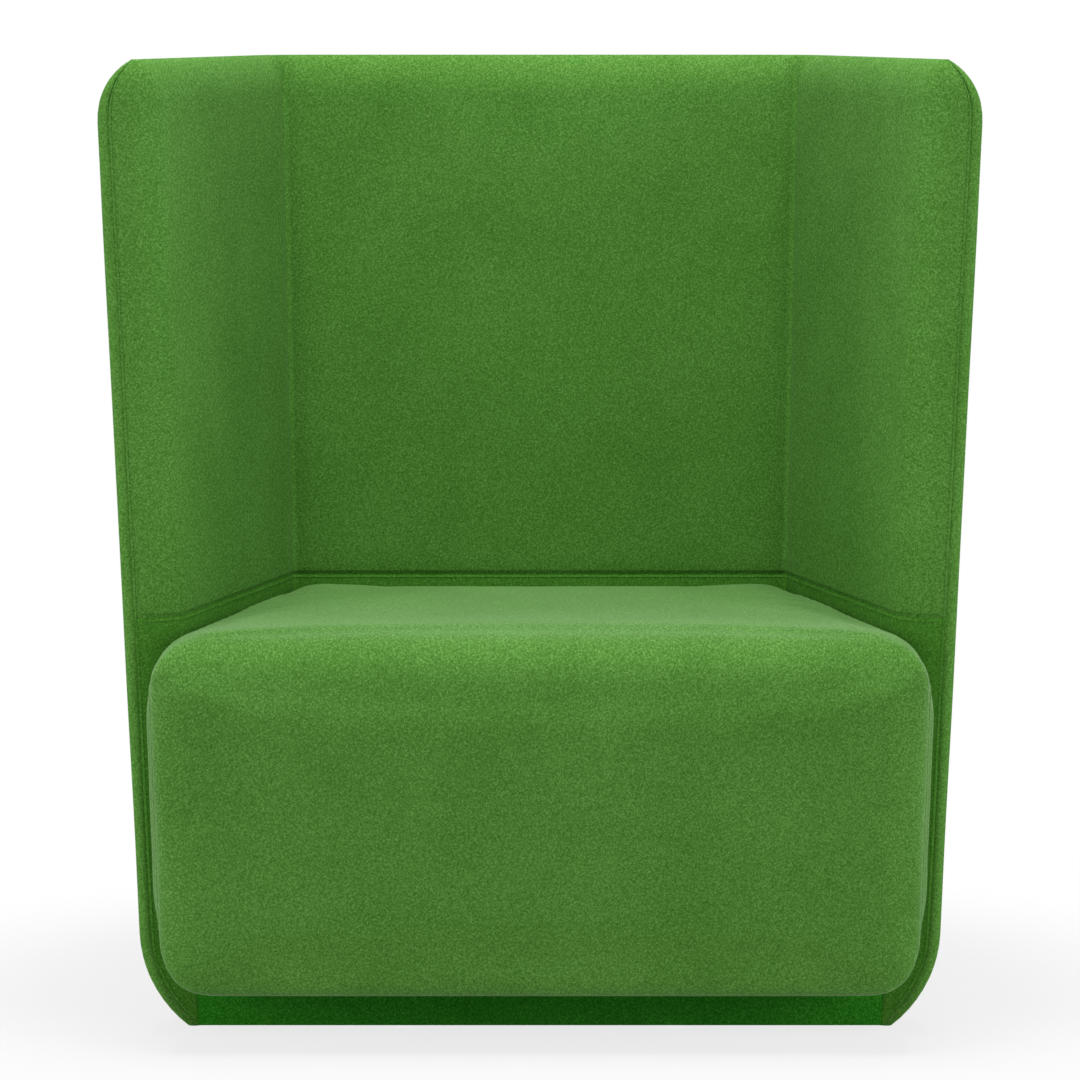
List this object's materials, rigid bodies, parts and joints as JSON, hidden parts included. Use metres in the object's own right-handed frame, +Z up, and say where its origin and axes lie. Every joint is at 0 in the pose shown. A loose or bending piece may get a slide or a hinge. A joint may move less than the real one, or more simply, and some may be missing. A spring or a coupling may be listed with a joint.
{
  "type": "acoustic high back lounge chair",
  "caption": "Armless lounge chair: a deep, softly crowned block seat held in a tall, upward-flaring, felt-covered U-shaped acoustic shell, on a low plinth with hidden glides.",
  "frame": {"origin": "on the floor, under the middle of the chair's overall width and depth", "axes": "+Z up; the chair faces -Y, so +Y points out of its back; +X is to the sitter's left"},
  "size_m": [0.951, 0.68, 1.06],
  "materials": {
    "base_cloth": "black spun non-woven cloth",
    "felt": "dense wool felt, slightly mottled moss green",
    "glide": "black polypropylene",
    "grey_felt": "grey needled felt",
    "padding_foam": "light grey polyether foam",
    "pine": "planed unfinished pine",
    "plywood": "unfinished birch plywood",
    "seat_foam": "firm yellowish cold foam",
    "shell_foam": "grey sound-absorbing foam",
    "soft_foam": "soft off-white polyether foam",
    "webbing": "black woven elastic webbing",
    "zinc_steel": "zinc plated"
  },
  "bodies": {
    "root": {"back_board": "plywood", "back_cover": "felt", "back_foam": "shell_foam", "back_seat_rail": "pine", "back_top_rail": "pine", "base_board": "plywood", "base_cloth": "base_cloth", "front_bearer": "pine", "front_left_glide": "glide", "front_right_glide": "glide", "glide_screws": "zinc_steel", "left_bearer": "pine", "left_corner_board": "plywood", "left_corner_post": "pine", "left_front_stile": "pine", "left_wing_board": "plywood", "left_wing_cover": "felt", "left_wing_foam": "shell_foam", "left_wing_seat_rail": "pine", "left_wing_top_rail": "pine", "lower_inner_cover": "felt", "middle_bearer": "pine", "outer_cover": "felt", "outer_padding": "padding_foam", "plinth_cover": "felt", "plinth_front_board": "plywood", "rear_bearer": "pine", "rear_left_glide": "glide", "rear_right_glide": "glide", "right_bearer": "pine", "right_corner_board": "plywood", "right_corner_post": "pine", "right_front_stile": "pine", "right_wing_board": "plywood", "right_wing_cover": "felt", "right_wing_foam": "shell_foam", "right_wing_seat_rail": "pine", "right_wing_top_rail": "pine", "seat_bolts": "zinc_steel", "seat_cloth": "base_cloth", "seat_cover": "felt", "seat_cross_webbing": "webbing", "seat_foam": "seat_foam", "seat_front_board": "plywood", "seat_front_cleat": "pine", "seat_front_foam": "seat_foam", "seat_insulator": "grey_felt", "seat_left_board": "plywood", "seat_left_foam": "seat_foam", "seat_left_return": "plywood", "seat_long_webbing": "webbing", "seat_middle_cleat": "pine", "seat_rear_board": "plywood", "seat_right_board": "plywood", "seat_right_foam": "seat_foam", "seat_right_return": "plywood", "seat_tee_nuts": "zinc_steel", "seat_topper": "soft_foam", "seat_washers": "zinc_steel", "top_edge_foam": "shell_foam"}
  },
  "joints": []
}
